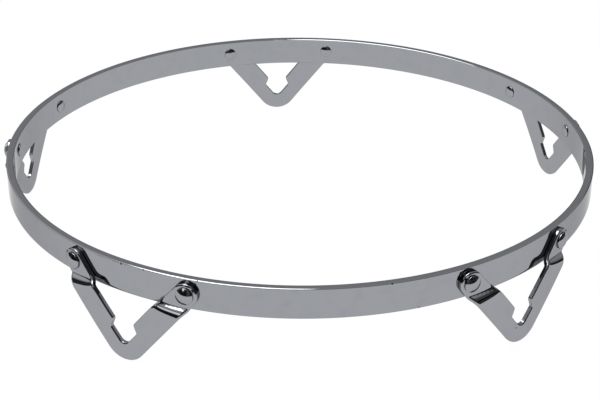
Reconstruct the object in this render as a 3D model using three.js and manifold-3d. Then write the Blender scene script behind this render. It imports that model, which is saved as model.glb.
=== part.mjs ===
// Side-plate ring of a quinto conga: the steel hoop that slides over the drum's shell and carries
// five pressed V-shaped side plates, each held by two rivets, in which the tuning rods seat.
// Millimetres, +Z up. The origin is on the ring's axis at half the height of the hoop, and one side
// plate points along +Y, so the ring mirrors left to right.

import * as THREE from 'three';
import { mergeVertices } from 'three/addons/utils/BufferGeometryUtils.js';
import Module from 'manifold-3d';

// Driving dimensions: the hoop
const hoopOuterDiameter = 310;
const hoopThickness = 3.8;
const hoopHeight = 15.9;
const hoopEdgeRadius = 0.8;

// Driving dimensions: the side plates
const plateCount = 5;
const plateThickness = 2.4;
const armWidth = 12.4;
const earWidth = 11.8;
const vHalfAngle = THREE.MathUtils.degToRad(39.05);
const tipRadius = 11.7;
const lobeWall = 8.3;
const slotBottomRadius = 3.4;
const lobeReach = 22.4;
const lobeCornerRadius = 0.6;
const neckReach = 24.7;
const neckCornerRadius = 1.2;
const standoff = 2.45;
const vCurveRadius = 278;

// Driving dimensions: the joggle between an ear and the V. Its upper bend starts this far below the
// middle of the hoop. Both bends are conical: the upper one opens out towards the arm's inner edge,
// and the lower one towards the outer edge.
const joggleDepthOuter = 5.9;
const joggleDepthInner = 2;
const joggleSlope = THREE.MathUtils.degToRad(60);
const upperBendRadiusOuter = 0.7;
const upperBendRadiusInner = 4.3;
const lowerBendRadiusOuter = 3.6;
const lowerBendRadiusInner = 0.3;

// Driving dimensions: the rivets
const rivetSpacing = 62.3;
const rivetHeight = 0.3;
const shankDiameter = 5;
const headDiameter = 8.5;
const headHeight = 2.3;
const tailDiameter = 7;
const tailHeight = 1.4;

// Clearances: between pieces that touch, round a shank, and how far a cut runs past its piece
const seatGap = 0.3;
const shankGap = 0.3;
const overrun = 3;

// How finely curves are divided
const hoopSteps = 180;
const edgeSteps = 2;
const tipSteps = 8;
const cornerSteps = 3;
const bendSteps = 4;
const armSteps = 3;
const earSteps = 9;
const rivetSteps = 16;
const domeSteps = 4;

// Worked out from the driving dimensions
const hoopOuterRadius = hoopOuterDiameter / 2;
const hoopInnerRadius = hoopOuterRadius - hoopThickness;
const plateStep = 2 * Math.PI / plateCount;
const armHalfWidth = armWidth / 2;
const earRadius = earWidth / 2;
const earMidRadius = hoopOuterRadius + seatGap + plateThickness / 2;
const earFaceRadius = earMidRadius + plateThickness / 2;
const earAngle = Math.asin(rivetSpacing / 2 / earMidRadius);
const vMidRadius = vCurveRadius - plateThickness / 2;
const vCentre = hoopOuterRadius + standoff + plateThickness - vCurveRadius;

// A side plate is punched flat and then pressed, which keeps how far across and how high each point
// of it is. So the outline is drawn flat, with its height from half the height of the hoop. A point of
// the outline is given along an arm from the corner where the two outer edges would meet, and
// inwards across the arm from its outer edge.
const earAcross = rivetSpacing / 2;
const apexHeight = rivetHeight - (earAcross + armHalfWidth / Math.cos(vHalfAngle)) / Math.tan(vHalfAngle);
const along = new THREE.Vector2(Math.sin(vHalfAngle), Math.cos(vHalfAngle));
const inwards = new THREE.Vector2(-Math.cos(vHalfAngle), Math.sin(vHalfAngle));

function onArm(reach, inset) {
  return new THREE.Vector2(0, apexHeight)
    .addScaledVector(along, reach)
    .addScaledVector(inwards, inset);
}

// Where a line along the arm, this far in from its outer edge, is at a height
function acrossAt(inset, up) {
  return (up - apexHeight) * Math.tan(vHalfAngle) - inset / Math.cos(vHalfAngle);
}

// A round bead of metal at the corner b of the path a-b-c, as points from the first tangent to the last
function roundedCorner(a, b, c, radius, steps) {
  const back = a.clone().sub(b).normalize();
  const ahead = c.clone().sub(b).normalize();
  const halfTurn = Math.acos(back.dot(ahead)) / 2;
  const centre = back.clone().add(ahead).normalize().multiplyScalar(radius / Math.sin(halfTurn)).add(b);
  const start = back.clone().multiplyScalar(radius / Math.tan(halfTurn)).add(b).sub(centre);
  const end = ahead.clone().multiplyScalar(radius / Math.tan(halfTurn)).add(b).sub(centre);
  const turn = Math.atan2(start.cross(end), start.dot(end));
  const origin = new THREE.Vector2();
  return Array.from({ length: steps + 1 }, (_, i) =>
    start.clone().rotateAround(origin, turn * i / steps).add(centre));
}

// How far from the ring's axis the middle of the sheet lies on an ear, which hugs the hoop, and on
// the V, which is pressed flatter
function earDepth(across) {
  return Math.sqrt(earMidRadius ** 2 - across ** 2);
}

function vDepth(across) {
  return vCentre + Math.sqrt(vMidRadius ** 2 - across ** 2);
}

// A point of the outline pressed into shape, and the sheet's normal there. The share runs from 0 on
// an ear to 1 on the V, and the slope is how far the sheet leans out on its way down.
function pressed(across, up, share, slope) {
  const ear = new THREE.Vector2(across, earDepth(across));
  const vee = new THREE.Vector2(across, vDepth(across) - vCentre);
  const depth = THREE.MathUtils.lerp(ear.y, vee.y + vCentre, share);
  const outwards = ear.normalize().lerp(vee.normalize(), share).normalize();
  return {
    point: new THREE.Vector3(across, depth, up),
    normal: new THREE.Vector3(outwards.x * Math.cos(slope), outwards.y * Math.cos(slope), Math.sin(slope)),
  };
}

// The joggle along one edge of an arm carries the sheet from the ear out to the V: a bend outwards,
// a short straight where there is room for one, and a bend back. The list runs upwards.
function joggleEdge(inset, depth, upperBendRadius, lowerBendRadius) {
  const upper = upperBendRadius + plateThickness / 2;
  const lower = lowerBendRadius + plateThickness / 2;
  const start = acrossAt(inset, -depth);
  const offset = vDepth(start) - earDepth(start);
  const fullTurn = Math.acos(Math.max(1 - offset / (upper + lower), -1));
  const slope = Math.min(joggleSlope, fullTurn);
  const straight = (offset - (upper + lower) * (1 - Math.cos(slope))) / Math.sin(slope);
  const height = (upper + lower) * Math.sin(slope) + straight * Math.cos(slope);
  const place = (down, out, turn) => pressed(acrossAt(inset, -depth - down), -depth - down, out / offset, turn);
  const edge = [];
  for (let i = 0; i <= bendSteps; i++) {
    const turn = slope * i / bendSteps;
    edge.push(place(height - lower * Math.sin(turn), offset - lower * (1 - Math.cos(turn)), turn));
  }
  for (let i = bendSteps; i >= 0; i--) {
    const turn = slope * i / bendSteps;
    edge.push(place(upper * Math.sin(turn), upper * (1 - Math.cos(turn)), turn));
  }
  return edge;
}

// The rungs of one arm from the middle of the tip to the end of the ear. A rung joins a place on
// the outer edge to a place on the inner edge.
function armRungs() {
  const rungs = [];
  const addRung = (outer, inner, share) => rungs.push({
    outer: pressed(outer.x, outer.y, share, 0),
    inner: pressed(inner.x, inner.y, share, 0),
  });
  const onArc = (across, up, radius, angle) =>
    new THREE.Vector2(across + radius * Math.cos(angle), up + radius * Math.sin(angle));

  const tipCentre = apexHeight + tipRadius / Math.sin(vHalfAngle);
  const slotCentre = apexHeight + (lobeWall + slotBottomRadius) / Math.sin(vHalfAngle);
  for (let i = 0; i <= tipSteps; i++) {
    const angle = -Math.PI / 2 + (Math.PI / 2 - vHalfAngle) * i / tipSteps;
    addRung(onArc(0, tipCentre, tipRadius, angle), onArc(0, slotCentre, slotBottomRadius, angle), 1);
  }

  // The key slot: up the side of the lobe, then in to the neck
  const lobeStart = new THREE.Vector2((lobeWall + slotBottomRadius) / Math.tan(vHalfAngle), lobeWall);
  const lobeCorner = new THREE.Vector2(lobeReach, lobeWall);
  const neckCorner = new THREE.Vector2(neckReach, armWidth);
  const armEnd = new THREE.Vector2(neckReach + armWidth, armWidth);
  const slotEdge = [
    ...roundedCorner(lobeStart, lobeCorner, neckCorner, lobeCornerRadius, cornerSteps),
    ...roundedCorner(lobeCorner, neckCorner, armEnd, neckCornerRadius, cornerSteps),
  ];
  for (const { x: reach, y: inset } of slotEdge) {
    addRung(onArm(reach, 0), onArm(reach, inset), 1);
  }

  // The arm, with rungs that turn on the way to lie along the bends
  const outerJoggle = joggleEdge(0, joggleDepthOuter, upperBendRadiusOuter, lowerBendRadiusOuter);
  const innerJoggle = joggleEdge(armWidth, joggleDepthInner, upperBendRadiusInner, lowerBendRadiusInner);
  const neck = slotEdge.at(-1);
  const outerStart = onArm(neck.x, 0).y;
  const innerStart = onArm(neck.x, neck.y).y;
  for (let i = 1; i < armSteps; i++) {
    const outerUp = THREE.MathUtils.lerp(outerStart, outerJoggle[0].point.z, i / armSteps);
    const innerUp = THREE.MathUtils.lerp(innerStart, innerJoggle[0].point.z, i / armSteps);
    addRung(
      new THREE.Vector2(acrossAt(0, outerUp), outerUp),
      new THREE.Vector2(acrossAt(armWidth, innerUp), innerUp), 1);
  }
  outerJoggle.forEach((outer, i) => rungs.push({ outer, inner: innerJoggle[i] }));

  // The round end of the ear: its two sides draw together at the end of the arm's line
  for (let i = 0; i < earSteps; i++) {
    const swing = Math.PI / 2 * i / (earSteps - 1 / 2);
    addRung(
      onArc(earAcross, rivetHeight, earRadius, -vHalfAngle + swing),
      onArc(earAcross, rivetHeight, earRadius, Math.PI - vHalfAngle - swing), 0);
  }
  return rungs;
}

function mirrored({ point, normal }) {
  const across = new THREE.Vector3(-1, 1, 1);
  return { point: point.clone().multiply(across), normal: normal.clone().multiply(across) };
}

// A closed sheet from its rungs: each rung becomes four corners, half the thickness either side
function sheetGeometry(rungs) {
  const positions = [];
  for (const { outer, inner } of rungs) {
    for (const [edge, face] of [[outer, 1], [inner, 1], [inner, -1], [outer, -1]]) {
      const corner = edge.point.clone().addScaledVector(edge.normal, face * plateThickness / 2);
      positions.push(...corner.toArray());
    }
  }
  const indices = [];
  const quad = (a, b, c, d) => indices.push(a, b, c, a, c, d);
  for (let i = 0; i + 1 < rungs.length; i++) {
    const here = 4 * i;
    const next = here + 4;
    for (let k = 0; k < 4; k++) {
      quad(here + k, here + (k + 1) % 4, next + (k + 1) % 4, next + k);
    }
  }
  const last = 4 * (rungs.length - 1);
  quad(3, 2, 1, 0);
  quad(last, last + 1, last + 2, last + 3);
  const geometry = new THREE.BufferGeometry();
  geometry.setAttribute('position', new THREE.Float32BufferAttribute(positions, 3));
  geometry.setIndex(indices);
  return geometry;
}

// Booleans
const wasm = await Module();
wasm.setup();

function solid(geometry) {
  const bare = geometry.clone();
  bare.deleteAttribute('normal');
  bare.deleteAttribute('uv');
  const merged = mergeVertices(bare);
  return new wasm.Manifold(new wasm.Mesh({
    numProp: 3,
    vertProperties: new Float32Array(merged.attributes.position.array),
    triVerts: new Uint32Array(merged.index.array),
  }));
}

function geometryOf(manifold) {
  const mesh = manifold.getMesh();
  const indexed = new THREE.BufferGeometry();
  indexed.setAttribute('position', new THREE.BufferAttribute(mesh.vertProperties, 3));
  indexed.setIndex(new THREE.BufferAttribute(mesh.triVerts, 1));
  const geometry = indexed.toNonIndexed();
  geometry.computeVertexNormals();
  return geometry;
}

// The way a rivet lies: along the radius at this angle, clockwise seen from above from +Y
function rivetPlace(angle) {
  return new THREE.Matrix4().makeRotationZ(-angle)
    .multiply(new THREE.Matrix4().makeTranslation(0, 0, rivetHeight));
}

// The hole that a shank passes through, wherever hoop and ear lie on its way
function shankHole(angle) {
  const length = hoopThickness + seatGap + plateThickness + 2 * overrun;
  const radius = shankDiameter / 2 + shankGap;
  const hole = new THREE.CylinderGeometry(radius, radius, length, rivetSteps);
  hole.translate(0, hoopInnerRadius - overrun + length / 2, 0);
  hole.applyMatrix4(rivetPlace(angle));
  return solid(hole);
}

// The hoop: a flat strip bent round and butt-welded, its four edges slightly rounded
function hoopGeometry() {
  const halfHeight = hoopHeight / 2;
  const corners = [
    [hoopOuterRadius, -halfHeight, 1, -1, -Math.PI / 2],
    [hoopOuterRadius, halfHeight, 1, 1, 0],
    [hoopInnerRadius, halfHeight, -1, 1, Math.PI / 2],
    [hoopInnerRadius, -halfHeight, -1, -1, Math.PI],
  ];
  const profile = [];
  for (const [radius, height, outwards, upwards, start] of corners) {
    for (let i = 0; i <= edgeSteps; i++) {
      const angle = start + Math.PI / 2 * i / edgeSteps;
      profile.push(new THREE.Vector2(
        radius + hoopEdgeRadius * (Math.cos(angle) - outwards),
        height + hoopEdgeRadius * (Math.sin(angle) - upwards)));
    }
  }
  profile.push(profile[0].clone());
  const strip = new THREE.LatheGeometry(profile, hoopSteps);
  strip.rotateX(Math.PI / 2);
  let hoop = solid(strip);
  for (let plate = 0; plate < plateCount; plate++) {
    for (const side of [-1, 1]) {
      hoop = hoop.subtract(shankHole(plate * plateStep + side * earAngle));
    }
  }
  return geometryOf(hoop);
}

// A side plate, in its place at +Y
function sidePlateGeometry() {
  const right = armRungs();
  const left = right.slice(1).reverse().map(({ outer, inner }) =>
    ({ outer: mirrored(outer), inner: mirrored(inner) }));
  return geometryOf(solid(sheetGeometry([...left, ...right]))
    .subtract(shankHole(earAngle))
    .subtract(shankHole(-earAngle)));
}

// A low dome as profile points from its rim to the axis
function domeProfile(radius, height, base, direction) {
  const sphere = (radius * radius + height * height) / (2 * height);
  const sweep = Math.asin(radius / sphere);
  const reach = height > radius ? Math.PI - sweep : sweep;
  return Array.from({ length: domeSteps + 1 }, (_, i) => {
    const angle = reach * (1 - i / domeSteps);
    const out = i === domeSteps ? 0 : sphere * Math.sin(angle);
    return new THREE.Vector2(out, base + direction * (height - sphere * (1 - Math.cos(angle))));
  });
}

// A rivet: factory head outside the ear, shank through ear and hoop, and a low tail formed inside
function rivetGeometry() {
  const shankRadius = shankDiameter / 2;
  const headBase = earFaceRadius + seatGap;
  const tailBase = hoopInnerRadius - seatGap;
  const profile = [
    ...domeProfile(tailDiameter / 2, tailHeight, tailBase, -1).reverse(),
    new THREE.Vector2(shankRadius, tailBase),
    new THREE.Vector2(shankRadius, headBase),
    ...domeProfile(headDiameter / 2, headHeight, headBase, 1),
  ];
  return geometryOf(solid(new THREE.LatheGeometry(profile, rivetSteps)));
}

// Bright chrome on every piece, the rivets a little whiter than the pressed steel
const plating = (color, roughness) => new THREE.MeshStandardMaterial({ color, roughness, metalness: 1 });
const hoopChrome = plating('#9b9ea2', 0.12);
const plateChrome = plating('#9a9da2', 0.1);
const rivetChrome = plating('#9ea1a5', 0.08);

const ring = new THREE.Group();

function addPiece(name, geometry, material, angle) {
  const mesh = new THREE.Mesh(geometry, material);
  mesh.name = name;
  mesh.rotation.z = -angle;
  ring.add(mesh);
  return mesh;
}

addPiece('hoop', hoopGeometry(), hoopChrome, 0);
const plate = sidePlateGeometry();
const rivet = rivetGeometry();
for (let i = 0; i < plateCount; i++) {
  const angle = i * plateStep;
  addPiece(`side_plate_${i + 1}`, plate, plateChrome, angle);
  for (const [label, side] of [['left', -1], ['right', 1]]) {
    addPiece(`rivet_${i + 1}_${label}`, rivet, rivetChrome, angle + side * earAngle).position.z = rivetHeight;
  }
}

export default ring;
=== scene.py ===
# %% [markdown]
# # The side-plate ring of a small conga
#
# A conga's skin is pulled down by rods, and the rods pull on a steel ring that has slid up over the
# shell. The ring is a flat strip bent into a hoop, and V-shaped plates are riveted round it. All of
# it is bright chrome, so this scene is mostly about clean curved meshes and about what they mirror.

import math

import bpy
from mathutils import Matrix, Vector


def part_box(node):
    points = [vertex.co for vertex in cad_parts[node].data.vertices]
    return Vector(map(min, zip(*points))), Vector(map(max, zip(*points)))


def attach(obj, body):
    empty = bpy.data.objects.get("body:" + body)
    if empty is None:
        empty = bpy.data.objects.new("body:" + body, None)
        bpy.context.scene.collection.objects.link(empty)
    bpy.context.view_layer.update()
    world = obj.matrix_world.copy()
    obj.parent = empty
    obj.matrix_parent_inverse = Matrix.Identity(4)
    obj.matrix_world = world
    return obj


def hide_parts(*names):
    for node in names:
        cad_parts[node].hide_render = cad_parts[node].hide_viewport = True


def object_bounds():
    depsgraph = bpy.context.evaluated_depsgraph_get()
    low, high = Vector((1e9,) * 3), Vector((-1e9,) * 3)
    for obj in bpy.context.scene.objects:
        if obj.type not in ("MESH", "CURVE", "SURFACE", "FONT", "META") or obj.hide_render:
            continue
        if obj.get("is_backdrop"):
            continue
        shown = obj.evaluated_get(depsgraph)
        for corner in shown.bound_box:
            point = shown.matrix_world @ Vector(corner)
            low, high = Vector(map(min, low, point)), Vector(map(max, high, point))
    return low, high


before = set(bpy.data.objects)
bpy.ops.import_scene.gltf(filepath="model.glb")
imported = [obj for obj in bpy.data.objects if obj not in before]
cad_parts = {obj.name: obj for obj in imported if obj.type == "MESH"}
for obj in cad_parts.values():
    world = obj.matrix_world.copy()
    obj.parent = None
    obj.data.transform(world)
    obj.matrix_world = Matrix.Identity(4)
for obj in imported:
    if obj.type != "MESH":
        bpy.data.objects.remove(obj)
cad_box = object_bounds()
print("pieces of the part:", ", ".join(sorted(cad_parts)))

# %% [markdown]
# ## Sizes
#
# The hoop's box gives its diameter and height, a rivet's box gives how high it sits and how wide its
# head is, and the names of the solids tell how many plates there are. Reading these keeps the scene
# on the solids. What a box can't tell, such as the thickness of the strip, is written in millimetres
# beside the piece that has it, as a maker would measure it. Everything else is worked out from these.

# %% Sizes read from the frame
MM = 0.001
hoop_low, hoop_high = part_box("hoop")
rivet_low, rivet_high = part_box("rivet_1_right")
hoop_outer = hoop_high.x
hoop_height = hoop_high.z - hoop_low.z
rivet_up = (rivet_high.z + rivet_low.z) / 2
head_radius = (rivet_high.z - rivet_low.z) / 2
plate_count = sum(node.startswith("side_plate_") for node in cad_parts)
print(f"hoop {2 * hoop_outer / MM:.1f} mm across and {hoop_height / MM:.1f} mm high")
print(f"{plate_count} plates, with rivets {rivet_up / MM:.2f} mm above the hoop's middle")

# %% [markdown]
# ## A mesh from rows of points
#
# A bevel or a subdivision surface rounds an edge quickly, but it also bends the shading of the flat
# beside it, and chrome shows every such wobble. So each point is worked out here together with the
# normal that the true surface has there, and the mesh keeps those normals for its shading. Flat
# stays flat right up to a rounded edge.

# %% A mesh that keeps the true normals
class Skin:
    """Gathers points with their normals, and faces, for one closed piece."""

    def __init__(self):
        self.points = []
        self.normals = []
        self.faces = []

    def add(self, point, normal):
        self.points.append(point)
        self.normals.append(normal)
        return len(self.points) - 1

    def quads(self, row, next_row, closed=False, flipped=False):
        """Joins two rows of points by a band of quads. A flipped band faces the other way."""
        if flipped:
            row, next_row = next_row, row
        for i in range(len(row) if closed else len(row) - 1):
            j = (i + 1) % len(row)
            self.faces.append((row[i], row[j], next_row[j], next_row[i]))

    def piece(self, name):
        mesh = bpy.data.meshes.new(name)
        mesh.from_pydata(self.points, [], self.faces)
        mesh.update()
        mesh.shade_smooth()
        mesh.normals_split_custom_set_from_vertices([n.normalized() for n in self.normals])
        made = bpy.data.objects.new(name, mesh)
        bpy.context.scene.collection.objects.link(made)
        print(f"{name}: {len(mesh.polygons)} faces")
        return made


# %% [markdown]
# ## The hoop
#
# A strip of steel is bent round and butt-welded, and its edges are broken before plating: each leaves
# the face over a small radius and runs out over a larger one. At the bottom of the outer face the
# strip is crowned first, and its mirror image darkens there. A bevelled curve could make the hoop
# too, but carrying a section round the axis by hand gives exact normals.

# %% The strip's section
STRIP_THICKNESS = 3.8 * MM
EDGE_SHARP = 0.15 * MM
EDGE_SOFT = 1.2 * MM
EDGE_TURN = math.radians(46)
CROWN = 4 * MM
CROWN_TURN = math.radians(15)
ARC_STEPS = 6

hoop_bore = hoop_outer - STRIP_THICKNESS


def broken_edge(first, second, turn):
    """An edge of two arcs, as (back from the face, down from the strip's end, turn of the normal)."""
    depth = first * (1 - math.cos(turn)) + second * math.cos(turn)
    drop = first * math.sin(turn) + second * (1 - math.sin(turn))
    edge = []
    for i in range(ARC_STEPS):
        a = turn * i / ARC_STEPS
        edge.append((first * (1 - math.cos(a)), drop - first * math.sin(a), a))
    for i in range(ARC_STEPS + 1):
        a = turn + (math.pi / 2 - turn) * i / ARC_STEPS
        edge.append((depth - second * math.cos(a), second * (1 - math.sin(a)), a))
    return edge


def strip_section():
    """The strip's section as (distance from the axis, height, slope of the normal), once round."""
    half = hoop_height / 2
    edge = broken_edge(EDGE_SHARP, EDGE_SOFT, EDGE_TURN)
    crown = broken_edge(CROWN, EDGE_SOFT, CROWN_TURN)
    section = [(hoop_outer - back, half - down, turn) for back, down, turn in edge]
    section += [(hoop_bore + back, half - down, math.pi - turn) for back, down, turn in reversed(edge)]
    section += [(hoop_bore + back, down - half, math.pi + turn) for back, down, turn in edge]
    section += [(hoop_outer - back, down - half, -turn) for back, down, turn in reversed(crown)]
    return section


print(f"the strip's section has {len(strip_section())} points")

# %% [markdown]
# The section is carried round the axis in steps of half a degree. The strip mirrors the plates in
# front of it, and coarser steps would break their image into facets.

# %% The hoop
HOOP_STEPS = 720


def make_hoop():
    skin = Skin()
    rows = []
    for out, up, slope in strip_section():
        row = []
        for i in range(HOOP_STEPS):
            angle = 2 * math.pi * i / HOOP_STEPS
            c, s = math.cos(angle), math.sin(angle)
            normal = Vector((c * math.cos(slope), s * math.cos(slope), math.sin(slope)))
            row.append(skin.add(Vector((out * c, out * s, up)), normal))
        rows.append(row)
    for row, next_row in zip(rows, rows[1:] + rows[:1]):
        skin.quads(row, next_row, closed=True)
    return skin.piece("hoop_strip")


hoop = make_hoop()

# %% [markdown]
# ## The side plates
#
# A side plate is punched from sheet and pressed. Its two ears lie on the hoop and take the hoop's
# curve. Just under the hoop the sheet joggles outwards, so that the V stands clear of the shell, and
# the V is pressed a little flatter than the hoop. Modifiers can bend a flat plate, but not about
# lines that slant and flare as these do. So the outline is drawn flat, and one function says where a
# point of the flat drawing ends up in space.

# %% The plates' main sizes
SHEET = 2.4 * MM
SEAT_GAP = 0.1 * MM
STANDOFF = 2.45 * MM
V_CURVE = 278 * MM
HALF_ANGLE = math.radians(39.05)
ARM_WIDTH = 13.0 * MM
EAR_WIDTH = 11.8 * MM
RIVET_SPACING = 62.3 * MM
RIVET_INSET = 6.2 * MM

ear_middle = hoop_outer + SEAT_GAP + SHEET / 2
ear_angle = math.asin(RIVET_SPACING / 2 / (hoop_outer + SHEET / 2))
ear_across = ear_middle * math.sin(ear_angle)
ear_radius = EAR_WIDTH / 2
v_face = hoop_outer + STANDOFF + SHEET
v_centre = v_face - V_CURVE
apex_up = rivet_up - (ear_across + RIVET_INSET / math.cos(HALF_ANGLE)) / math.tan(HALF_ANGLE)


def arm_across(inset, up):
    """How far out a line along the arm is at a height. The inset is from the arm's outer edge."""
    return (up - apex_up) * math.tan(HALF_ANGLE) - inset / math.cos(HALF_ANGLE)


print(f"V's corner {apex_up / MM:.2f} mm up, ears {ear_across / MM:.2f} mm to the side")

# %% [markdown]
# The joggle is two bends with a flank between them. A press rolls its upper bend tight at the arm's
# outer edge and lets it flare open towards the inner one, which is why the light on it is a wedge.
# How far the sheet steps out changes across the arm too, since the ear and the V curve differently.

# %% The joggle
BEND_LINE = {"outer": -5.9 * MM, "inner": -5.2 * MM}
BEND_LIFT = 3.0 * MM
UPPER_BEND = 1.9 * MM
UPPER_FLARE = 3.4 * MM
FLARE_POWER = 4
LOWER_BEND = {"outer": 4.8 * MM, "inner": 2.4 * MM}
JOGGLE_SLOPE = math.radians(60)


def between(pair, width):
    return pair["outer"] + (pair["inner"] - pair["outer"]) * width


def bend_top(width):
    """How high the upper bend starts. The width is 0 at the arm's outer edge and 1 at the inner."""
    return between(BEND_LINE, width) + BEND_LIFT * width ** FLARE_POWER


def ear_depth(across):
    return math.sqrt(ear_middle ** 2 - across ** 2)


def v_depth(across):
    return v_centre + math.sqrt((V_CURVE - SHEET / 2) ** 2 - across ** 2)


def joggle_shape(across, width):
    """Both bends and the flank between them: (slope, flank, upper radius, lower radius)."""
    offset = v_depth(across) - ear_depth(across)
    upper = UPPER_BEND + UPPER_FLARE * width ** FLARE_POWER
    lower = between(LOWER_BEND, width)
    slope = min(JOGGLE_SLOPE, math.acos(max(1 - offset / (upper + lower), -1)))
    flank = (offset - (upper + lower) * (1 - math.cos(slope))) / math.tan(slope)
    return slope, flank, upper, lower


def joggle_height(across, width):
    slope, flank, upper, lower = joggle_shape(across, width)
    return (upper + lower) * math.sin(slope) + flank


for width, label in ((0, "outer"), (1, "inner")):
    print(f"joggle {joggle_height(ear_across, width) / MM:.2f} mm high at the arm's {label} edge")

# %% [markdown]
# Pressing keeps how far across and how high a point of the flat drawing is, and only pushes it
# outwards. The directions of the sheet at a point come from its two nearest neighbours, so nobody
# has to work out by hand how the bends slant.

# %% Where the pressed sheet lies
PROBE = 0.01 * MM


def sheet_middle(across, up):
    """The middle of the sheet's thickness, on the plate that points along +Y."""
    width = (arm_across(0, up) - abs(across)) * math.cos(HALF_ANGLE) / ARM_WIDTH
    width = min(max(width, 0), 1)
    slope, flank, upper, lower = joggle_shape(across, width)
    down = bend_top(width) - up
    upper_height = upper * math.sin(slope)
    above_foot = joggle_height(across, width) - down
    if down <= 0:
        depth = ear_depth(across)
    elif down < upper_height:
        depth = ear_depth(across) + upper - math.sqrt(upper ** 2 - down ** 2)
    elif down < upper_height + flank:
        bent = ear_depth(across) + upper * (1 - math.cos(slope))
        depth = bent + (down - upper_height) * math.tan(slope)
    elif above_foot > 0:
        depth = v_depth(across) - lower + math.sqrt(lower ** 2 - above_foot ** 2)
    else:
        depth = v_depth(across)
    return Vector((across, depth, up))


def sheet_directions(across, up):
    """The directions across and up the sheet at a point, and its outward normal."""
    side = sheet_middle(across + PROBE, up) - sheet_middle(across - PROBE, up)
    rise = sheet_middle(across, up + PROBE) - sheet_middle(across, up - PROBE)
    return side.normalized(), rise.normalized(), rise.cross(side).normalized()


step_out = sheet_middle(0, apex_up).y - sheet_middle(0, rivet_up).y
print(f"the V stands {step_out / MM:.2f} mm further out than the ears")

# %% [markdown]
# The flat outline of one arm comes as rungs. Each rung joins a point of the outer edge to a point of
# the inner edge, so the mesh between them is a ladder that follows the arm. The rungs start at the
# middle of the tip and run past the key slot, where the neck of a rod's bracket drops in.

# %% Rungs of the tip and the key slot
TIP_RADIUS = 11.8 * MM
LOBE_WALL = 8.9 * MM
SLOT_FOOT_RADIUS = 3.4 * MM
LOBE_REACH = 22.4 * MM
LOBE_ROUNDING = 1.1 * MM
NECK_REACH = 24.7 * MM
NECK_ROUNDING = 1.6 * MM
TIP_STEPS = 20
LOBE_STEPS = 4
ROUNDING_STEPS = 6


def on_arc(centre, radius, angle):
    return centre + Vector((math.cos(angle), math.sin(angle))) * radius


def on_arm(reach, inset):
    """A point by how far it is along the arm's outer edge from the V's corner, and in from it."""
    along = Vector((math.sin(HALF_ANGLE), math.cos(HALF_ANGLE)))
    inwards = Vector((-math.cos(HALF_ANGLE), math.sin(HALF_ANGLE)))
    return Vector((0, apex_up)) + along * reach + inwards * inset


def rounded(before, corner, after, radius):
    """The arc that rounds a corner of a path."""
    back = (before - corner).normalized()
    ahead = (after - corner).normalized()
    half = math.acos(back.dot(ahead)) / 2
    centre = corner + (back + ahead).normalized() * radius / math.sin(half)
    start = corner + back * radius / math.tan(half) - centre
    end = corner + ahead * radius / math.tan(half) - centre
    first = math.atan2(start.y, start.x)
    sweep = (math.atan2(end.y, end.x) - first + math.pi) % (2 * math.pi) - math.pi
    angles = [first + sweep * i / ROUNDING_STEPS for i in range(ROUNDING_STEPS + 1)]
    return [on_arc(centre, radius, angle) for angle in angles]


def tip_rungs():
    """From the middle of the tip to where its rounding ends. The slot's foot has its own centre."""
    tip = Vector((0, apex_up + TIP_RADIUS / math.sin(HALF_ANGLE)))
    foot = Vector((0, apex_up + (LOBE_WALL + SLOT_FOOT_RADIUS) / math.sin(HALF_ANGLE)))
    sweep = math.pi / 2 - HALF_ANGLE
    angles = [-math.pi / 2 + sweep * i / TIP_STEPS for i in range(TIP_STEPS + 1)]
    return [(on_arc(tip, TIP_RADIUS, a), on_arc(foot, SLOT_FOOT_RADIUS, a)) for a in angles]


def slot_rungs():
    """Past the slot's lobe and neck. The path's points are (along the arm, in from its outer edge)."""
    start = Vector(((LOBE_WALL + SLOT_FOOT_RADIUS) / math.tan(HALF_ANGLE), LOBE_WALL))
    lobe = Vector((LOBE_REACH, LOBE_WALL))
    neck = Vector((NECK_REACH, ARM_WIDTH))
    away = Vector((NECK_REACH + ARM_WIDTH, ARM_WIDTH))
    lobe_arc = rounded(start, lobe, neck, LOBE_ROUNDING)
    path = [start.lerp(lobe_arc[0], i / LOBE_STEPS) for i in range(1, LOBE_STEPS)]
    path += lobe_arc + rounded(lobe, neck, away, NECK_ROUNDING)
    return [(on_arm(p.x, 0), on_arm(p.x, p.y)) for p in path]


print(f"{len(tip_rungs())} rungs round the tip, {len(slot_rungs())} past the lobe and the neck")

# %% [markdown]
# Above the slot the rungs turn from square across the arm until they lie along the bend lines, so
# that no quad is folded by a bend. The arm narrows to the ear over the joggle. The ear's end is
# round, and the last rung stays half a step short of it, where its two ends would meet.

# %% Rungs of the arm, the joggle and the ear
NARROWS_FROM = -9 * MM
NARROWS_TO = -1 * MM
ARM_STEPS = 8
JOGGLE_STEPS = 28
EAR_STEPS = 28
SHORT_OF_END = 0.5


def inner_inset(up):
    """How far in from the outer edge the arm's inner edge lies."""
    share = min(max((up - NARROWS_FROM) / (NARROWS_TO - NARROWS_FROM), 0), 1)
    return ARM_WIDTH + (RIVET_INSET + ear_radius - ARM_WIDTH) * share


def joggle_foot(inset, width):
    """How low the joggle reaches on a line along the arm, which comes in as it goes down."""
    top = bend_top(width)
    height = joggle_height(arm_across(inset, top), width)
    return top - joggle_height(arm_across(inset, top - height), width)


def heights(low, high, share):
    """The heights of a rung's outer and inner end, between those of two other rungs."""
    return tuple(a + (b - a) * share for a, b in zip(low, high))


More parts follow.
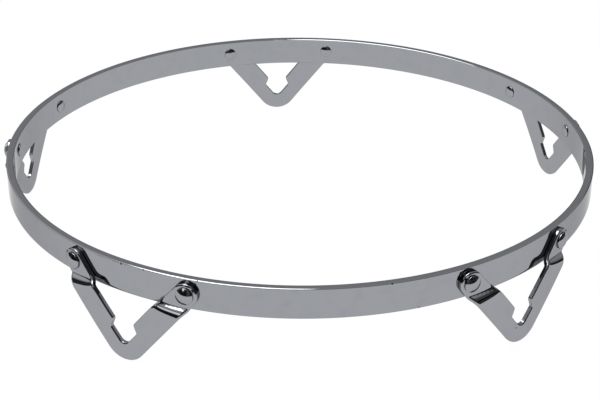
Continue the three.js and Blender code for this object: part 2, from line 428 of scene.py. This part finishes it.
def level_rungs(first):
    """The plain arm and the joggle, on from the last rung of the slot."""
    start = first[0].y, first[1].y
    foot = joggle_foot(0, 0), joggle_foot(ARM_WIDTH, 1)
    top = bend_top(0), bend_top(1)
    ups = [heights(start, foot, i / ARM_STEPS) for i in range(1, ARM_STEPS)]
    ups += [heights(foot, top, i / JOGGLE_STEPS) for i in range(JOGGLE_STEPS + 1)]
    return [(Vector((arm_across(0, a), a)), Vector((arm_across(inner_inset(b), b), b))) for a, b in ups]


def ear_rungs():
    """Both sides of the ear at once, as they swing towards its end."""
    centre = Vector((ear_across, rivet_up))
    swings = [math.pi / 2 * i / (EAR_STEPS - SHORT_OF_END) for i in range(EAR_STEPS)]
    return [(on_arc(centre, ear_radius, swing - HALF_ANGLE),
             on_arc(centre, ear_radius, math.pi - HALF_ANGLE - swing)) for swing in swings]


def plate_rungs():
    """Both arms, from the left ear's end round the tip to the right ear's end."""
    right = tip_rungs() + slot_rungs()
    right += level_rungs(right[-1])
    right += ear_rungs()
    left = [tuple(Vector((-p.x, p.y)) for p in rung) for rung in right[:0:-1]]
    return left + right


rungs = plate_rungs()
outer_edge = [rung[0] for rung in rungs]
inner_edge = [rung[1] for rung in rungs]
outline = outer_edge + inner_edge[::-1]
print(f"{len(rungs)} rungs in a plate; its tip is {outer_edge[len(rungs) // 2].y / MM:.2f} mm up")

# %% [markdown]
# Punching rolls an edge over on one side of the sheet and leaves it crisp on the other. Tumbling
# before the plating softens both, but it reaches the outside of a plate better than its slot. So the
# rim of the mesh runs from the front face over a wide arc to the cut edge, and over a second arc to
# the back face, which is nearly as wide round the outside and narrow along the slot.

# %% The rim of a plate
# Each rim as (inset from the outline, depth into the sheet)
FRONT_RIM = (1.1 * MM, 0.85 * MM)
BACK_RIM_OUTSIDE = (0.9 * MM, 0.7 * MM)
BACK_RIM_SLOT = (0.4 * MM, 0.3 * MM)


def rim_arc(inset, depth):
    """An arc from a face to the cut edge, as (inset from the outline, height, turn of the normal)."""
    arc = [math.pi / 2 * i / ARC_STEPS for i in range(ARC_STEPS + 1)]
    turns = [math.atan2(math.sin(a) / inset, math.cos(a) / depth) for a in arc]
    return [(inset * (1 - math.sin(a)), SHEET / 2 - depth * (1 - math.cos(a)), turn)
            for a, turn in zip(arc, turns)]


def rim_section(back_rim):
    """The whole rim, from the front face round to the back face."""
    back = [(inset, -height, math.pi - turn) for inset, height, turn in rim_arc(*back_rim)]
    return rim_arc(*FRONT_RIM) + back[::-1]


print(f"a rim has {len(rim_section(BACK_RIM_SLOT))} rows of points")

# %% [markdown]
# The rim goes once round the outline, out along the outer edge and back along the inner one. The two
# faces between the rims are ladders of quads, whose inner points lie on the curved sheet as well.
# All five plates come from the same drawing and are turned to their places about the ring's axis.

# %% A side plate
FACE_STEPS = 6
WIDEST_RIM_SHARE = 0.5


def turned(vector, angle):
    """The same point or normal on another plate: clockwise about the ring's axis, seen from above."""
    c, s = math.cos(angle), math.sin(angle)
    return Vector((vector.x * c + vector.y * s, vector.y * c - vector.x * s, vector.z))


def add_rim(skin, angle):
    """Adds the rim, and returns its first and last row, which border the two faces."""
    rows = []
    for steps in zip(rim_section(BACK_RIM_OUTSIDE), rim_section(BACK_RIM_SLOT)):
        row = []
        for i, corner in enumerate(outline):
            inset, height, turn = steps[i >= len(outer_edge)]
            tangent = (outline[(i + 1) % len(outline)] - outline[i - 1]).normalized()
            flat = corner - Vector((tangent.y, -tangent.x)) * inset
            side, rise, normal = sheet_directions(flat.x, flat.y)
            point = sheet_middle(flat.x, flat.y) + normal * height
            edge = normal.cross(side * tangent.x + rise * tangent.y).normalized()
            facing = normal * math.cos(turn) + edge * math.sin(turn)
            row.append(skin.add(turned(point, angle), turned(facing, angle)))
        rows.append(row)
    for row, next_row in zip(rows, rows[1:]):
        skin.quads(row, next_row, closed=True)
    return rows[0], rows[-1]


def add_face(skin, border, height, insets, flipped, angle):
    """Adds the face inside a border row. The insets are those of the outer and the inner rim. Near
    the ear's end a rung is shorter than both together, and each takes half of it at most."""
    ladder = []
    for k in range(1, len(rungs) - 1):
        step = inner_edge[k] - outer_edge[k]
        first, last = (min(inset / step.length, WIDEST_RIM_SHARE) for inset in insets)
        line = [border[k]]
        for i in range(1, FACE_STEPS):
            flat = outer_edge[k] + step * (first + (1 - first - last) * i / FACE_STEPS)
            normal = sheet_directions(flat.x, flat.y)[-1]
            point = sheet_middle(flat.x, flat.y) + normal * height
            facing = -normal if flipped else normal
            line.append(skin.add(turned(point, angle), turned(facing, angle)))
        line.append(border[-1 - k])
        ladder.append(line)
    for line, next_line in zip(ladder, ladder[1:]):
        skin.quads(line, next_line, flipped=flipped)
    left_end = (border[-1], border[0], *ladder[0])
    right_end = (border[len(rungs) - 1], border[len(rungs)], *ladder[-1][::-1])
    for end in (left_end, right_end):
        skin.faces.append(end if flipped else end[::-1])


def make_plate(name, angle):
    skin = Skin()
    front, back = add_rim(skin, angle)
    add_face(skin, front, SHEET / 2, (FRONT_RIM[0], FRONT_RIM[0]), False, angle)
    add_face(skin, back, -SHEET / 2, (BACK_RIM_OUTSIDE[0], BACK_RIM_SLOT[0]), True, angle)
    return skin.piece(name)


plate_turns = [2 * math.pi * n / plate_count for n in range(plate_count)]
plates = [make_plate(f"plate_{n + 1}_pressed", turn) for n, turn in enumerate(plate_turns)]

# %% [markdown]
# ## The rivets
#
# A rivet comes with a domed head and is set from inside the hoop, where the press leaves a low round
# tail. Each dome is a shallow cap on a small rolled edge: the cap mirrors the dark front of the room
# and the rolled edge draws a bright line round it. A flattened sphere has no such edge, so both ends
# are turned from a profile about the rivet's own axis, as on a lathe.

# %% The profile of a dome
HEAD_HEIGHT = 2.2 * MM
HEAD_ROLL = 0.3 * MM
HEAD_CROWN = math.radians(39)
TAIL_RADIUS = 3.5 * MM
TAIL_HEIGHT = 1.25 * MM
TAIL_ROLL = 0.45 * MM
TAIL_CROWN = math.radians(24)
SHANK_RADIUS = 2.5 * MM
ROLL_STEPS = 6
DOME_STEPS = 14


def dome(radius, height, roll, crown):
    """From the shank over the foot to the top, as (radius, reach, turn of the normal)."""
    sphere = (radius - roll) / math.sin(crown) + roll
    lip = height - roll * math.cos(crown) - sphere * (1 - math.cos(crown))
    profile = [(SHANK_RADIUS, 0, 0), (radius, 0, 0)]
    for i in range(ROLL_STEPS + 1):
        a = math.pi / 2 + (crown - math.pi / 2) * i / ROLL_STEPS
        profile.append((radius - roll + roll * math.sin(a), lip + roll * math.cos(a), math.pi / 2 - a))
    for i in range(1, DOME_STEPS + 1):
        a = crown * (1 - i / DOME_STEPS)
        profile.append((sphere * math.sin(a), height - sphere * (1 - math.cos(a)), math.pi / 2 - a))
    return profile


head_profile = dome(head_radius, HEAD_HEIGHT, HEAD_ROLL, HEAD_CROWN)
tail_profile = dome(TAIL_RADIUS, TAIL_HEIGHT, TAIL_ROLL, TAIL_CROWN)
print(f"head {HEAD_HEIGHT / MM} mm high in {len(head_profile)} points, tail {TAIL_HEIGHT / MM} mm")

# %% [markdown]
# The head starts at the ear's outer face and the tail at the hoop's bore, with the shank between
# them. A rivet is placed by how far it is turned about the ring's axis, as the plates are.

# %% Rivets
RIVET_STEPS = 64
TOP_RADIUS = 0.001 * MM


def add_end(skin, profile, base, direction, angle):
    """Adds the head or the tail, and returns its first row, at the shank."""
    rows = []
    for radius, reach, turn in profile:
        row = []
        for i in range(RIVET_STEPS):
            a = 2 * math.pi * i / RIVET_STEPS
            spoke = Vector((math.cos(a), 0, math.sin(a)))
            point = spoke * max(radius, TOP_RADIUS) + Vector((0, base + direction * reach, rivet_up))
            normal = spoke * math.cos(turn) + Vector((0, direction * math.sin(turn), 0))
            row.append(skin.add(turned(point, angle), turned(normal, angle)))
        rows.append(row)
    for row, next_row in zip(rows, rows[1:]):
        skin.quads(row, next_row, closed=True, flipped=direction > 0)
    skin.faces.append(tuple(rows[-1][::-1] if direction > 0 else rows[-1]))
    return rows[0]


def make_rivet(name, angle):
    skin = Skin()
    outer_end = add_end(skin, head_profile, ear_middle + SHEET / 2, 1, angle)
    inner_end = add_end(skin, tail_profile, hoop_bore, -1, angle)
    skin.quads(outer_end, inner_end, closed=True)
    return skin.piece(name)


rivets = []
for n, turn in enumerate(plate_turns):
    for side, label in ((-1, "left"), (1, "right")):
        node = f"rivet_{n + 1}_{label}"
        rivets.append((node, make_rivet(f"{node}_set", turn + side * ear_angle)))

# %% [markdown]
# ## Each piece takes the place of its solid
#
# The solids of the imported part stay for the physics and are hidden here. A finished piece is hung on
# the ring's body, so that it moves with the ring.

# %% Take over from the solids
def stand_in(made, node):
    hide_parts(node)
    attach(made, "root")


stand_in(hoop, "hoop")
for n, made in enumerate(plates):
    stand_in(made, f"side_plate_{n + 1}")
for node, made in rivets:
    stand_in(made, node)
print(f"{1 + len(plates) + len(rivets)} pieces stand for {len(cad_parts)} solids")

# %% [markdown]
# ## Shader sums written as sums
#
# A node tree is easier to read as a formula. So one small class wraps the output of a node and turns
# plus, minus and times into Math nodes, and one method adds every other kind of node.

# %% Wires between nodes
class Wire:
    """One output of a node. Sums with it add Math nodes to its tree."""

    def __init__(self, nodes, socket):
        self.nodes = nodes
        self.socket = socket

    def __add__(self, other):
        return self.nodes.maths("ADD", self, other)

    def __sub__(self, other):
        return self.nodes.maths("SUBTRACT", self, other)

    def __mul__(self, other):
        return self.nodes.maths("MULTIPLY", self, other)

    def __radd__(self, other):
        return self.nodes.maths("ADD", other, self)

    def __rsub__(self, other):
        return self.nodes.maths("SUBTRACT", other, self)

    def __rmul__(self, other):
        return self.nodes.maths("MULTIPLY", other, self)

    def __abs__(self):
        return self.nodes.maths("ABSOLUTE", self)

    def at_least(self, other):
        return self.nodes.maths("MAXIMUM", self, other)

    def step_up(self, start, end):
        """A smooth step from 0 at the start to 1 at the end. A start above the end steps down."""
        low, high = min(start, end), max(start, end)
        rising = self.nodes.add(
            "ShaderNodeMapRange", {"interpolation_type": "SMOOTHSTEP"},
            {"Value": self, "From Min": low, "From Max": high})["Result"]
        return rising if start < end else 1 - rising


class Nodes:
    """The node tree of a material or a world."""

    def __init__(self, owner):
        owner.use_nodes = True
        self.tree = owner.node_tree

    def feed(self, node, sockets):
        """Sets or links sockets of a node, each given by its name or its number."""
        for key, value in sockets.items():
            if isinstance(key, int):
                socket = node.inputs[key]
            else:
                socket = next(s for s in node.inputs if s.enabled and s.name == key)
            if isinstance(value, Wire):
                self.tree.links.new(value.socket, socket)
            else:
                socket.default_value = value

    def add(self, kind, settings, sockets):
        """Adds a node and returns its outputs by name."""
        made = self.tree.nodes.new(kind)
        for name, value in settings.items():
            setattr(made, name, value)
        self.feed(made, sockets)
        return {s.name: Wire(self, s) for s in made.outputs if s.enabled}

    def maths(self, operation, *values):
        return self.add("ShaderNodeMath", {"operation": operation}, dict(enumerate(values)))["Value"]

    def vector_maths(self, operation, *values):
        """A Vector Math node, which has one output: a vector or a value, as the operation asks."""
        made = self.add("ShaderNodeVectorMath", {"operation": operation}, dict(enumerate(values)))
        return next(iter(made.values()))

    def split(self, vector):
        """The three parts of a vector."""
        return self.add("ShaderNodeSeparateXYZ", {}, {"Vector": vector}).values()

    def noise(self, place, scale, detail):
        sockets = {"Vector": place, "Scale": scale, "Detail": detail}
        return self.add("ShaderNodeTexNoise", {}, sockets)["Fac"]

    def mixed(self, share, first, second):
        sockets = {"Factor": share, "A": first, "B": second}
        return self.add("ShaderNodeMix", {"data_type": "RGBA"}, sockets)["Result"]


# %% [markdown]
# ## Chrome
#
# Bright chrome has almost no colour of its own, and shows the room. What tells it from a perfect
# mirror is small: polishing leaves a slow wave and a faint haze, rolling leaves lines along a strip,
# and handling leaves nicks in the plating. All of these are patterns in the piece's own coordinates,
# so they stay where they are when the camera moves. Real chrome also brightens less towards grazing
# angles than the plain shader does, and Specular Tint sets that. One function makes all three
# finishes, and each brings its own flaws.

# %% What every chrome surface has
CHROME = (0.318, 0.328, 0.349, 1)
HAZED_CHROME = (0.300, 0.310, 0.332, 1)
NICK_DARK = (0.012, 0.012, 0.013, 1)
GRAZING = 0.62
SMOOTH = 0.022
HAZE = 0.035
HAZE_SCALE = 165
HAZE_RANGE = (0.45, 0.8)
NICK_ROUGHNESS = 0.4
WAVE_SCALE = 55
WAVE_DEPTH = 0.02 * MM


def chrome(name, flaws):
    """A chrome finish. The flaws are a function of (nodes, place) that returns masks from 0 to 1:
    lines in the polish, dark nicks, and how much the surface waves."""
    material = bpy.data.materials.new(name)
    nodes = Nodes(material)
    place = nodes.add("ShaderNodeTexCoord", {}, {})["Object"]
    wave = nodes.noise(place, WAVE_SCALE, detail=2)
    haze = nodes.noise(place, HAZE_SCALE, detail=4).step_up(*HAZE_RANGE)
    lines, nicks, waving = flaws(nodes, place)
    colour = nodes.mixed(haze.at_least(lines), CHROME, HAZED_CHROME)
    height = (wave + lines) * waving
    bump = nodes.add("ShaderNodeBump", {}, {"Height": height, "Distance": WAVE_DEPTH})["Normal"]
    nodes.feed(nodes.tree.nodes["Principled BSDF"], {
        "Metallic": 1.0,
        "Specular Tint": (GRAZING, GRAZING, GRAZING, 1),
        "Base Color": nodes.mixed(nicks, colour, NICK_DARK),
        "Roughness": SMOOTH + HAZE * haze + NICK_ROUGHNESS * nicks,
        "Normal": bump})
    print(f"{name}: {len(material.node_tree.nodes)} nodes")
    return material


# %% [markdown]
# Flaws on a round thing are easiest to place by angle, distance from the axis and height. A single
# nick or spot is a small ball round a point: where the surface passes through it, the mask is 1.

# %% Places for the flaws
def round_the_ring(nodes, place):
    """The same place as (angle, distance from the axis, height)."""
    x, y, z = nodes.split(place)
    return nodes.maths("ARCTAN2", y, x), nodes.maths("SQRT", x * x + y * y), z


def spots(nodes, place, marks):
    """A mask of round marks, given as (x, y, z, radius) in metres."""
    mask = 0
    for *middle, radius in marks:
        apart = nodes.vector_maths("DISTANCE", place, middle)
        mask = apart.step_up(radius, radius / 2).at_least(mask)
    return mask


# %% [markdown]
# The strip was rolled, so fine lines run round it, and they show best on its narrow top. Its ends are
# butt-welded and ground flush, which leaves a faint band across the bore. Lifting the ring on and
# off has nicked the plating along its edges, and scuffed a short stretch of the upper one.

# %% The hoop's finish
LINE_LENGTH = 1.5
LINE_DENSITY = 1100
LINE_RANGE = (0.4, 0.62)
TOP_RANGE = (0.3, 0.9)
WELD_ANGLE = math.radians(96.2)
WELD_HALF_RADIANS = 0.005
WELD_SHARE = 0.6
# Nicks as (degrees round the ring, millimetres up, radius in millimetres)
STRIP_NICKS = ((-127, 7.2, 0.7), (-122.5, 7.5, 0.5), (-112.5, 7.8, 0.45), (-80, 7.5, 0.55),
               (-75, -7.1, 0.5))
SCUFF_FROM = math.radians(-133)
SCUFF_TO = math.radians(-127)
SCUFF_FADE_RADIANS = 0.01
SCUFF_UP = 7.2 * MM
SCUFF_HALF_WIDTH = 0.16 * MM
SCUFF_SCALE = 900
SCUFF_RANGE = (0.4, 0.5)
SCUFF_SHARE = 0.7


def rolled_lines(nodes, angle, out, up):
    normal = nodes.add("ShaderNodeNewGeometry", {}, {})["Normal"]
    _, _, facing_up = nodes.split(normal)
    along = nodes.add("ShaderNodeCombineXYZ", {}, {
        "X": LINE_LENGTH * angle, "Y": LINE_DENSITY * out, "Z": LINE_DENSITY * up})["Vector"]
    return nodes.noise(along, 1.0, detail=3).step_up(*LINE_RANGE) * facing_up.step_up(*TOP_RANGE)


def strip_flaws(nodes, place):
    angle, out, up = round_the_ring(nodes, place)
    in_bore = out.step_up(hoop_outer - STRIP_THICKNESS / 2, hoop_bore)
    weld = abs(angle - WELD_ANGLE).step_up(WELD_HALF_RADIANS, 0) * in_bore
    lines = rolled_lines(nodes, angle, out, up).at_least(WELD_SHARE * weld)
    edge_out = hoop_outer - EDGE_SHARP
    marks = []
    for degrees, high, size in STRIP_NICKS:
        a = math.radians(degrees)
        marks.append((edge_out * math.cos(a), edge_out * math.sin(a), high * MM, size * MM))
    sector = angle.step_up(SCUFF_FROM, SCUFF_FROM + SCUFF_FADE_RADIANS)
    sector = sector * angle.step_up(SCUFF_TO, SCUFF_TO - SCUFF_FADE_RADIANS)
    band = abs(up - SCUFF_UP).step_up(SCUFF_HALF_WIDTH, 0)
    scuff = sector * band * nodes.noise(place, SCUFF_SCALE, detail=1).step_up(*SCUFF_RANGE)
    return lines, spots(nodes, place, marks).at_least(SCUFF_SHARE * scuff), 1


hoop.data.materials.append(chrome("hoop_chrome_rolled", strip_flaws))

# %% [markdown]
# A plate was punched, so its cut edges carry shear lines through the thickness that tumbling and
# plating only soften. Its faces stay as flat as the sheet was. An edge is told from a face by how
# little it looks away from the ring's axis. One plate has a spot beside its slot.

# %% The plates' finish
SHEAR_DENSITY = 700
SHEAR_LENGTH = 120
SHEAR_DEPTH = 0.25
CUT_RANGE = (0.42, 0.2)
FACE_WAVING = 0.4
# The spot as millimetres (across, up, radius), and how many plates on from the first
PLATE_SPOT = (4.3, -32, 0.5)
SPOTTED_PLATE = 2


def plate_flaws(nodes, place):
    angle, out, up = round_the_ring(nodes, place)
    normal = nodes.add("ShaderNodeNewGeometry", {}, {})["Normal"]
    outwards = nodes.vector_maths("NORMALIZE", nodes.vector_maths("MULTIPLY", place, (1, 1, 0)))
    cut = abs(nodes.vector_maths("DOT_PRODUCT", normal, outwards)).step_up(*CUT_RANGE)
    round_about = SHEAR_DENSITY * hoop_outer * angle
    through = nodes.add("ShaderNodeCombineXYZ", {}, {
        "X": round_about, "Y": SHEAR_LENGTH * out, "Z": SHEAR_DENSITY * up})["Vector"]
    shear = SHEAR_DEPTH * nodes.noise(through, 1.0, detail=2) * cut
    across, high, size = PLATE_SPOT
    spot = turned(Vector((across * MM, v_face, high * MM)), plate_turns[SPOTTED_PLATE])
    return shear, spots(nodes, place, [(*spot, size * MM)]), FACE_WAVING + (1 - FACE_WAVING) * cut


plate_chrome = chrome("plate_chrome_pressed", plate_flaws)
for made in plates:
    made.data.materials.append(plate_chrome)

# %% [markdown]
# A rivet's head was formed cold in a die and its tail by the setting press. Both keep very shallow
# dents a few millimetres across, which break up what the dome mirrors.

# %% The rivets' finish
DENT_SCALE = 320
DENT_DEPTH = 0.15


def rivet_flaws(nodes, place):
    return DENT_DEPTH * nodes.noise(place, DENT_SCALE, detail=2), 0, 1


rivet_chrome = chrome("rivet_chrome_set", rivet_flaws)
for _, made in rivets:
    made.data.materials.append(rivet_chrome)

# %% [markdown]
# ## The floor
#
# The ring hangs in white light, and its plates' tips just touch a white sheet. To each side and to
# the back the sheet is so wide that it fills the view. It ends a little in front of the ring, so that
# the domes and bends, which look down past its edge, mirror the dark front of the room.

# %% Floor
FLOOR_HALF = 15
FLOOR_FRONT = -0.37

low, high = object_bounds()
corners = [(-FLOOR_HALF, FLOOR_FRONT), (FLOOR_HALF, FLOOR_FRONT),
           (FLOOR_HALF, FLOOR_HALF), (-FLOOR_HALF, FLOOR_HALF)]
sheet = bpy.data.meshes.new("floor")
sheet.from_pydata([(x, y, low.z) for x, y in corners], [], [(0, 1, 2, 3)])
floor = bpy.data.objects.new("floor", sheet)
bpy.context.scene.collection.objects.link(floor)
floor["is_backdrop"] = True
print(f"floor {-low.z / MM:.2f} mm below the middle of the hoop")

# %% [markdown]
# A lit white sheet would need so much light that the chrome burned out. So rays from the camera and
# rays that bounce off the chrome see the sheet by its own glow, a little below pure white. All other
# light falls on a plain matt surface, which keeps a hint of the ring's shadow.

# %% The white sheet
SHEET_WHITE = (0.9, 0.9, 0.9, 1)
SHEET_ROUGHNESS = 0.9
GLOW = 1.02
GLOW_SHARE = 0.96

paper = bpy.data.materials.new("white_sheet")
nodes = Nodes(paper)
matt = nodes.tree.nodes["Principled BSDF"]
nodes.feed(matt, {"Base Color": SHEET_WHITE, "Roughness": SHEET_ROUGHNESS, "Specular IOR Level": 0.0})
path = nodes.add("ShaderNodeLightPath", {}, {})
seen = path["Is Camera Ray"].at_least(path["Is Glossy Ray"]).at_least(path["Is Transmission Ray"])
glow = nodes.add("ShaderNodeEmission", {}, {"Strength": GLOW})["Emission"]
both = nodes.add("ShaderNodeMixShader", {}, {
    0: GLOW_SHARE * seen, 1: Wire(nodes, matt.outputs["BSDF"]), 2: glow})["Shader"]
nodes.feed(nodes.tree.nodes["Material Output"], {"Surface": both})
floor.data.materials.append(paper)
print(f"white sheet: {len(paper.node_tree.nodes)} nodes")

# %% [markdown]
# ## The room
#
# What chrome shows above the level of the floor is the room. It could be a picture of a real room or
# a set of lamps and cards. Here it is a formula on the direction in which a ray leaves: it is small,
# and each part of the mirror image can be moved by its own number. Along a direction, x is to the
# right, y to the back and z up, each from -1 to 1.
#
# A pale ceiling starts over the back of the set. It is brighter to the left, as in a room that has its
# windows there. To the right it starts higher, except straight beside the ring, where it reaches
# further down, as if a door stood open.

# %% The ceiling
SKY = 0.48
SKY_LEFT = 0.9
LEFT_RANGE = (0.05, -0.75)
CEILING_STARTS = 0.6
CEILING_SOFT_BELOW = 0.2
CEILING_SOFT_ABOVE = 0.15
BACK_OPENS = 0.5
RIGHT_CLOSES = 0.2
DOOR_OPENS = 0.4
DOOR_MIDDLE = 0.25
DOOR_RANGE = (0.45, 0.15)

world = bpy.data.worlds.new("studio")
bpy.context.scene.world = world
nodes = Nodes(world)
direction = nodes.add("ShaderNodeTexCoord", {}, {})["Generated"]
x, y, z = nodes.split(direction)
door = abs(y - DOOR_MIDDLE).step_up(*DOOR_RANGE)
height = z + BACK_OPENS * y + x.at_least(0) * (DOOR_OPENS * door - RIGHT_CLOSES)
ceiling = height.step_up(CEILING_STARTS - CEILING_SOFT_BELOW, CEILING_STARTS + CEILING_SOFT_ABOVE)
sky = SKY + (SKY_LEFT - SKY) * x.step_up(*LEFT_RANGE)
print(f"ceiling from {math.degrees(math.asin(CEILING_STARTS)):.0f} degrees up at the left")

# %% [markdown]
# A product photographer leaves the front of the room dark, so that domes and bends get black bands.
# No room is evenly dark, though. Soft streaks, mostly to the right, break the black up, and a dim
# glimmer straight in front is the light that comes back off the camera's side.

# %% The dark front
DARK = 0.012
STREAKS = 0.12
STREAK_SCALE = 2.5
STREAK_RANGE = (0.45, 0.7)
STREAKS_LEFT_SHARE = 0.35
STREAKS_RIGHT_RANGE = (0.1, 0.5)
GLIMMER = 0.1
GLIMMER_MIDDLE = -0.03
GLIMMER_RANGE = (0.28, 0.04)
FRONT_RANGE = (-0.3, -0.7)

rightwards = STREAKS_LEFT_SHARE + (1 - STREAKS_LEFT_SHARE) * x.step_up(*STREAKS_RIGHT_RANGE)
streaks = nodes.noise(direction, STREAK_SCALE, detail=3).step_up(*STREAK_RANGE) * rightwards
glimmer = abs(x - GLIMMER_MIDDLE).step_up(*GLIMMER_RANGE) * y.step_up(*FRONT_RANGE)
dark = DARK + STREAKS * streaks + GLIMMER * glimmer
print(f"front from {DARK} to {DARK + STREAKS + GLIMMER:.3f} of white")

# %% [markdown]
# A small window high at the front left puts a sharp bright spot on the domes that face it. The camera
# itself sees plain white past the floor's edge, whatever the room holds.

# %% The window and the whole room
WINDOW = Vector((-0.62, -0.54, 0.57)).normalized()
WINDOW_LIGHT = 1.6
WINDOW_EDGE = math.cos(math.radians(11))
WINDOW_CORE = math.cos(math.radians(5))

aim = nodes.vector_maths("DOT_PRODUCT", direction, tuple(WINDOW))
light = dark + (sky - dark) * ceiling + WINDOW_LIGHT * aim.step_up(WINDOW_EDGE, WINDOW_CORE)
camera_sees = nodes.add("ShaderNodeLightPath", {}, {})["Is Camera Ray"]
nodes.feed(nodes.tree.nodes["Background"], {
    "Color": (1, 1, 1, 1), "Strength": light.at_least(camera_sees)})
print(f"room: {len(world.node_tree.nodes)} nodes")

# %% [markdown]
# One large soft lamp hangs overhead, a little to the left. The bright line along the hoop's top edge
# is its mirror image, so the lamp's width sets where that line starts and ends.

# %% Lamp
LAMP_PLACE = Vector((-0.58, 0.22, 2.2))
LAMP_SIZE = (1.3, 1.45)
LAMP_WATTS = 30

lamp = bpy.data.lights.new("overhead_left", "AREA")
lamp.shape = "RECTANGLE"
lamp.size, lamp.size_y = LAMP_SIZE
lamp.energy = LAMP_WATTS
hung = bpy.data.objects.new("overhead_left", lamp)
hung.location = LAMP_PLACE
bpy.context.scene.collection.objects.link(hung)
print(f"lamp {LAMP_SIZE[0]} by {LAMP_SIZE[1]} m, {LAMP_PLACE.z:.1f} m up")

# %% [markdown]
# ## The camera
#
# The four edges of the hoop are circles, and how they flatten in the photograph gives the view: about
# 27 degrees above level and less than a metre away. The camera turns a little round its own axis too.

# %% Camera
CAMERA_AZIMUTH = math.radians(-5.47)
CAMERA_ELEVATION = math.radians(27.28)
CAMERA_ROLL = math.radians(0.32)
CAMERA_DISTANCE = 775.3 * MM
CAMERA_RISE = -24.7 * MM
LENS = 86.39
SENSOR = 36

level_right = Vector((math.cos(CAMERA_AZIMUTH), math.sin(CAMERA_AZIMUTH), 0))
level_back = Vector((math.sin(CAMERA_AZIMUTH), -math.cos(CAMERA_AZIMUTH), 0))
backwards = level_back * math.cos(CAMERA_ELEVATION) + Vector((0, 0, math.sin(CAMERA_ELEVATION)))
upwards = backwards.cross(level_right)
right = level_right * math.cos(CAMERA_ROLL) + upwards * math.sin(CAMERA_ROLL)
up = upwards * math.cos(CAMERA_ROLL) - level_right * math.sin(CAMERA_ROLL)

lens = bpy.data.cameras.new("camera")
lens.lens = LENS
lens.sensor_width = SENSOR
camera = bpy.data.objects.new("camera", lens)
facing = Matrix((right, up, backwards)).transposed().to_4x4()
camera.matrix_world = Matrix.Translation(backwards * CAMERA_DISTANCE + up * CAMERA_RISE) @ facing
bpy.context.scene.collection.objects.link(camera)
bpy.context.scene.camera = camera
bpy.context.scene.view_settings.view_transform = "Standard"
print(f"camera {CAMERA_DISTANCE / MM:.0f} mm from the ring's middle, lens {LENS} mm")

# %% [markdown]
# ## Hand over
#
# The visual ring must be no bigger than the solid one, so both boxes are written down before the
# scene is closed.

# %% Sizes and the end
visual_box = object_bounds()
for label, box in (("solid", cad_box), ("visual", visual_box)):
    size = box[1] - box[0]
    print(f"{label}: {size.x / MM:.2f} x {size.y / MM:.2f} x {size.z / MM:.2f} mm")
